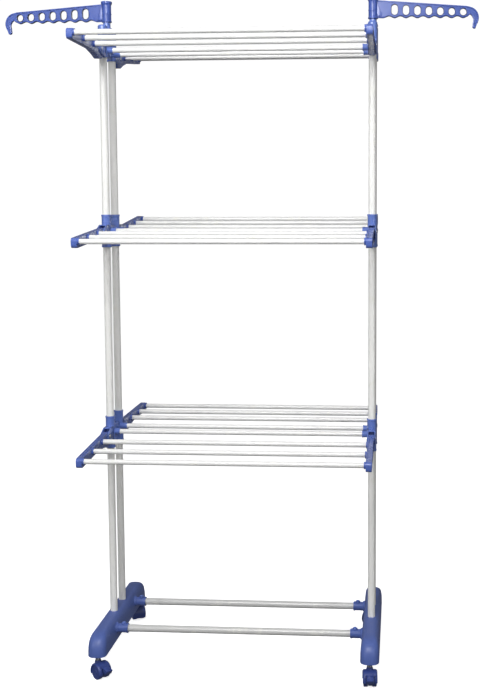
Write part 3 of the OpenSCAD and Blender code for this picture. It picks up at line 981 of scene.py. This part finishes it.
# the hanger's plastic carries the painted shade line round its holes and along its lower edge
hangerBlue = plastic("hangerPlastic", hangerPaintedShade)


# an outline drawn in by each depth at its height, on one side of the plate and then on the other
def plateWall(outline, levels):
    wall = [[(p.x, p.y, z) for p in inset(outline, depth)] for depth, z in levels]
    return wall + [[(p.x, p.y, -z) for p in inset(outline, depth)] for depth, z in reversed(levels)]


# the thin web with its thicker border and a thicker ring round each hole
def addHangerPlate(shape, reach):
    h = hangerShape
    web, rim = h["web"] / 2, h["rim"] / 2
    border, ring = h["border"], h["ring"]
    firstTall, lastTall = h["holeTall"]
    height, fall = h["holeHeight"]
    levels = [(border, web), (border - 0.3, rim - 0.3), (border - 0.6, rim)]
    levels += [(0.8, rim), (0.25, rim - 0.3), (0, rim - 0.8)]
    chains = [plateWall(hangerOutline(reach), levels)]
    levels = [(ring, web), (ring - 0.3, rim - 0.3), (ring - 0.6, rim)]
    levels += [(0.6, rim), (0.2, rim - 0.2), (0, rim - 0.7)]
    for i in range(h["holes"]):
        share = i / (h["holes"] - 1)
        spot = (h["firstHole"] + i * h["pitch"], height - fall * share)
        hole = slot(spot, h["holeWidth"], firstTall * (1 - share) + lastTall * share)
        chains.append(plateWall(hole[::-1], levels))
    shape.loft(chains)


def addSleeve(shape):
    h = hangerShape
    r, wide, bore, tall = h["sleeveRadius"], h["sleeveRim"], h["bore"], h["sleeveTall"]
    profile = [(bore, 0.4), (r + 1.2, 0.4), (r + 1.2, 3.4), (r, 4.2), (r, 19.4), (r + 0.7, 20.2)]
    profile += [(r + 0.7, 21.8), (r, 22.6), (r, tall - 9), (wide, tall - 5)]
    profile += [(wide, tall), (bore + 1.5, tall), (bore, tall - 3)]
    shape.turn(soften(profile, 0.5), axes((1, 0, 0), (0, 0, -1), (0, 1, 0), (0, 0, 0)))


def makeHanger(side):
    s = sides[side]
    name = "hanger_" + side
    low, high = box(name)
    sleeveLow = high.z - hangerShape["sleeveTall"]
    shape = Shape(axes((s, 0, 0), (0, 0, 1), (0, -1, 0), (s * sideX, 0, sleeveLow)))
    addHangerPlate(shape, max(abs(low.x), abs(high.x)) - sideX)
    addSleeve(shape)
    gusset = soften([(8, 6), (24, 6), (9, 44), (8, 44)], 2)
    for centre in (-3.4, 3.4):
        shape.slab([gusset], centre - 1.6, centre + 1.6, 0.8)
    shape.piece("hangerShell_" + side, name, "hanger_plastic", hangerBlue, name)


for side in sides:
    makeHanger(side)
print("hangers made")


castorShape = {
    "hub": 9.0,  # gap between the wheels
    "wheelWidth": 12.2,
    "fenderGap": 3.4,
    "fenderSkin": 2.2,
    "keel": 13.5,  # reach of the web below the axle
    "pin": (1.0, 14.5),  # of the brake, behind the wheels and above the axle
    "leverHalf": 9.0,  # half the width of the brake lip
    "ridges": 4,  # on the brake lip
}


# local X across the wheels, local Y ahead of the stem, local Z up, origin on the floor under the stem
def castorPlace(corner):
    stem = middle("castor_stem_" + corner)
    wheel = middle("castor_wheels_" + corner)
    ahead = Vector((stem.x - wheel.x, stem.y - wheel.y, 0))
    trail = ahead.length
    ahead.normalize()
    place = axes((ahead.y, -ahead.x, 0), ahead, (0, 0, 1), (stem.x, stem.y, 0))
    return place, trail, wheel.z


# on the axle: local X ahead, local Y up and local Z across; turned over for the second wheel
def axlePlace(trail, radius, hand=1):
    return at(0, -trail, radius) @ axes((0, 1, 0), (0, 0, hand), (hand, 0, 0), (0, 0, 0))


# a braked hood ends higher at the back between its cheeks, where the lip stands
def addFender(shape, axle, radius, braked):
    c = castorShape
    half = c["hub"] / 2 + c["wheelWidth"] + 1.4
    fender = radius + c["fenderGap"]
    inner = fender - c["fenderSkin"]
    skirt = radius - 2.4
    profile = [(skirt, -half), (fender - 2.5, -half), (fender, 3.5 - half), (fender, half - 3.5)]
    profile += [(fender - 2.5, half), (skirt, half), (skirt, half - 1.3), (inner, half - 1.5)]
    profile += [(inner, 1.5 - half), (skirt, 1.3 - half)]
    shape.turn(soften(profile, 1.4), axle, 44, -24, 150 if braked else 212)
    if not braked:
        return
    gap = c["leverHalf"] + 0.9
    cheek = [(radius - 1, half), (fender - 2.5, half), (fender, half - 3.5), (fender, gap)]
    cheek += [(inner, gap), (inner, half - 1.5), (radius - 1, half - 1.5)]
    shape.turn(soften([(r, -x) for r, x in cheek], 0.6), axle, 14, 148, 190)
    shape.turn(soften(cheek[::-1], 0.6), axle, 14, 148, 190)


def makeCastorShell(corner, braked):
    c = castorShape
    place, trail, radius = castorPlace(corner)
    shape = Shape(place)
    axle = axlePlace(trail, radius)
    addFender(shape, axle, radius, braked)
    hubHalf = c["hub"] / 2
    inner = radius + c["fenderGap"] - c["fenderSkin"]
    web = arc((0, 0), inner + 0.4, -8, 188, 24) + arc((0, 0), 17.6, 194, 232, 6)
    web += arc((0, 0), c["keel"], 244, 335, 12)
    shape.slab([web], -hubHalf, hubHalf, 0.5, axle)
    shape.slab([arc((0, 0), 9.5, 0, 350, 27)], -hubHalf - 0.4, hubHalf + 0.4, 0.5, axle)
    boss = [(4.1, radius + 6), (8.6, radius + 6), (8.6, radius + 20)]
    boss += [(7.4, radius + 24.8), (4.1, radius + 24.8)]
    shape.turn(soften(boss, 0.8), None, 32)
    if braked:
        behind, up = c["pin"]
        ear = arc((-radius - behind, up), 3.6, -60, 230, 12)
        for x in (-c["leverHalf"] - 1.8, c["leverHalf"] + 1.8):
            shape.slab([ear], x - 1.1, x + 1.1, 0.5, axle)
    hood = "castor_hood_" + corner
    shape.piece("castorShell_" + corner, "castor_" + corner, "castor_plastic", castorBlue, hood)


# two wheels with a rounded tread, a stepped face and a hub cap, and the axle through them
def makeCastorWheels(corner):
    c = castorShape
    place, trail, radius = castorPlace(corner)
    shape = Shape(place)
    start = c["hub"] / 2 + 0.5
    face = c["hub"] / 2 + c["wheelWidth"]
    profile = [(2.0, start), (radius - 2.2, start), (radius - 0.7, start + 0.4), (radius, start + 1.6)]
    profile += [(radius, face - 2.6), (radius - 0.6, face - 1.2), (radius - 1.9, face - 0.4)]
    profile += [(radius - 3.8, face - 0.2), (radius - 4.4, face - 1.1), (radius - 5.0, face - 1.1)]
    profile += [(radius - 5.6, face - 0.5), (7.4, face - 0.3), (6.8, face - 0.9), (6.2, face - 0.9)]
    profile += [(5.6, face - 0.2), (2.6, face), (2.0, face)]
    for hand in (-1, 1):
        shape.turn(soften(profile, 0.35), axlePlace(trail, radius, hand), 56)
    rod = [(2.2, 0.4 - face), (2.9, 1.0 - face), (2.9, face - 1.0), (2.2, face - 0.4)]
    shape.spindle(rod, axlePlace(trail, radius), 24)
    wheels = "castor_wheels_" + corner
    shape.piece("castorWheels_" + corner + "_pair", "wheels_" + corner, "castor_plastic", castorBlue, wheels)


# the foot lever behind the wheels: a wedge on its pin, with ridges on top
def makeBrakeLip(corner):
    c = castorShape
    place, trail, radius = castorPlace(corner)
    shape = Shape(place)
    axle = axlePlace(trail, radius)
    behind, z = c["pin"]
    y = -radius - behind
    half = c["leverHalf"]
    lip = [(1.6, 2.6), (-2.6, 1.2), (-9.0, -0.6), (-19.5, -3.4), (-18.6, -6.0)]
    lip += [(-12.5, -15.0), (-2.6, -10.4), (-0.2, -3.0)]
    outline = [(y + ahead, z + up) for ahead, up in lip]
    shape.slab([soften(outline, 1.6)], -half, half, 1.4, axle)
    for k in range(c["ridges"]):
        spot = axle @ at(y - 5.0 - 2.6 * k, z + 0.1 - 0.65 * k, 0)
        shape.spindle([(0.7, -6.5), (1.0, -6.0), (1.0, 6.0), (0.7, 6.5)], spot, 16)
    pin = [(1.1, -half - 2.8), (1.45, -half - 2.4), (1.45, half + 2.4), (1.1, half + 2.8)]
    shape.spindle(pin, axle @ at(y, z, 0), 20)
    lever = "brake_lever_" + corner
    shape.piece("brakeLip_" + corner, "brake_" + corner, "castor_plastic", castorBlue, lever)


for corner in ("fl", "fr", "rl", "rr"):
    braked = corner[0] == "f"
    makeCastorShell(corner, braked)
    makeCastorWheels(corner)
    if braked:
        makeBrakeLip(corner)
print("castors made")


# the studio: a pale floor, a white dome behind everything, soft light from all round and four soft lamps
studio = {
    "floorSize": 56.0,
    "floorGap": 0.0003,  # between the wheels and the floor
    "floorColour": (0.90, 0.90, 0.90),
    "floorGlow": 0.80,
    "domeRadius": 32.0,
    "domeGlow": 1.03,
    "fill": {"below": 0.17, "level": 0.20, "above": 0.27},
    "lamps": {
        "overhead": {"place": (-0.1, -1.0, 3.0), "aim": (0, 0, 1.3), "size": (1.8, 1.2), "power": 5.0},
        "front": {"place": (-0.22, -2.4, 2.5), "aim": (0, 0, 1.7), "size": (0.9, 1.3), "power": 68.0},
        "leftStrip": {"place": (-2.2, -2.8, 1.7), "aim": (0, 0, 1.1), "size": (0.22, 1.8), "power": 17.0},
        "rightStrip": {"place": (2.4, -2.6, 1.7), "aim": (0, 0, 1.1), "size": (0.22, 1.8), "power": 17.0},
    },
}


# stage pieces are seen by the camera only, so the light on the rack comes from the fill and the lamps
def addStage(name, mesh, material, height):
    data = bpy.data.meshes.new(name)
    mesh.to_mesh(data)
    mesh.free()
    data.materials.append(material)
    made = bpy.data.objects.new(name, data)
    made.location.z = height
    made.visible_diffuse = False
    made.visible_glossy = False
    made.visible_shadow = False
    bpy.context.scene.collection.objects.link(made)
    made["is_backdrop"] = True


def makeFloor():
    g = newMaterial("paleFloor")
    grain = g.noise(g.place(), 3.0, 3.0)
    colour = studio["floorColour"]
    g.feed("Base Color", g.blend(grain * 0.2, shade(colour, 1.0), shade(colour, 0.97)))
    g.feed("Roughness", 0.9)
    g.feed("Emission Color", (1, 1, 1, 1))
    g.feed("Emission Strength", studio["floorGlow"])
    mesh = bmesh.new()
    bmesh.ops.create_grid(mesh, x_segments=8, y_segments=8, size=studio["floorSize"] / 2)
    addStage("studioFloor", mesh, g.owner, cadLow.z - studio["floorGap"])


def makeDome():
    g = newMaterial("whiteDome")
    g.feed("Base Color", (0, 0, 0, 1))
    g.feed("Roughness", 1.0)
    g.feed("Emission Color", (1, 1, 1, 1))
    g.feed("Emission Strength", studio["domeGlow"])
    mesh = bmesh.new()
    bmesh.ops.create_icosphere(mesh, subdivisions=4, radius=studio["domeRadius"])
    addStage("studioDome", mesh, g.owner, 0)


# light from all round, stronger from above than from below
def makeFill():
    world = bpy.data.worlds.new("softFill")
    bpy.context.scene.world = world
    g = Graph(world, "Background")
    fill = studio["fill"]
    lift = g.part(g.place("Generated"), 2) * 0.5 + 0.5
    points = ((0, fill["below"]), (0.47, fill["below"]), (0.53, fill["level"]), (1, fill["above"]))
    g.feed("Strength", g.add("ShaderNodeFloatCurve", {"points": points}, {"Value": lift}))
    g.feed("Color", (1, 1, 1, 1))


def makeLamp(name, lamp):
    data = bpy.data.lights.new(name, "AREA")
    data.shape = "RECTANGLE"
    data.size, data.size_y = lamp["size"]
    data.energy = lamp["power"]
    made = bpy.data.objects.new(name, data)
    made.location = lamp["place"]
    aim = Vector(lamp["aim"]) - made.location
    made.rotation_euler = aim.to_track_quat("-Z", "Y").to_euler()
    bpy.context.scene.collection.objects.link(made)


makeFloor()
makeDome()
makeFill()
for name, lamp in studio["lamps"].items():
    makeLamp(name, lamp)


camera = {
    "place": (0.4088, -2.7727, 1.1573),
    "yaw": 3.892,
    "pitch": 5.185,
    "roll": -0.101,
    "lens": 56.55,
    "shift": (-0.125, -0.0482),
}


def makeCamera():
    data = bpy.data.cameras.new("studioCamera")
    data.lens = camera["lens"]
    data.shift_x, data.shift_y = camera["shift"]
    made = bpy.data.objects.new("studioCamera", data)
    turned = Matrix.Rotation(math.radians(camera["yaw"]), 4, "Z")
    turned @= Matrix.Rotation(math.radians(90 - camera["pitch"]), 4, "X")
    turned @= Matrix.Rotation(math.radians(camera["roll"]), 4, "Z")
    turned.translation = Vector(camera["place"])
    made.matrix_world = turned
    bpy.context.scene.collection.objects.link(made)
    bpy.context.scene.camera = made


makeCamera()
bpy.context.scene.view_settings.view_transform = "Standard"
print("studio made")

low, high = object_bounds()
sizes = {"cad": [list(cadLow), list(cadHigh)], "visual": [list(low), list(high)]}
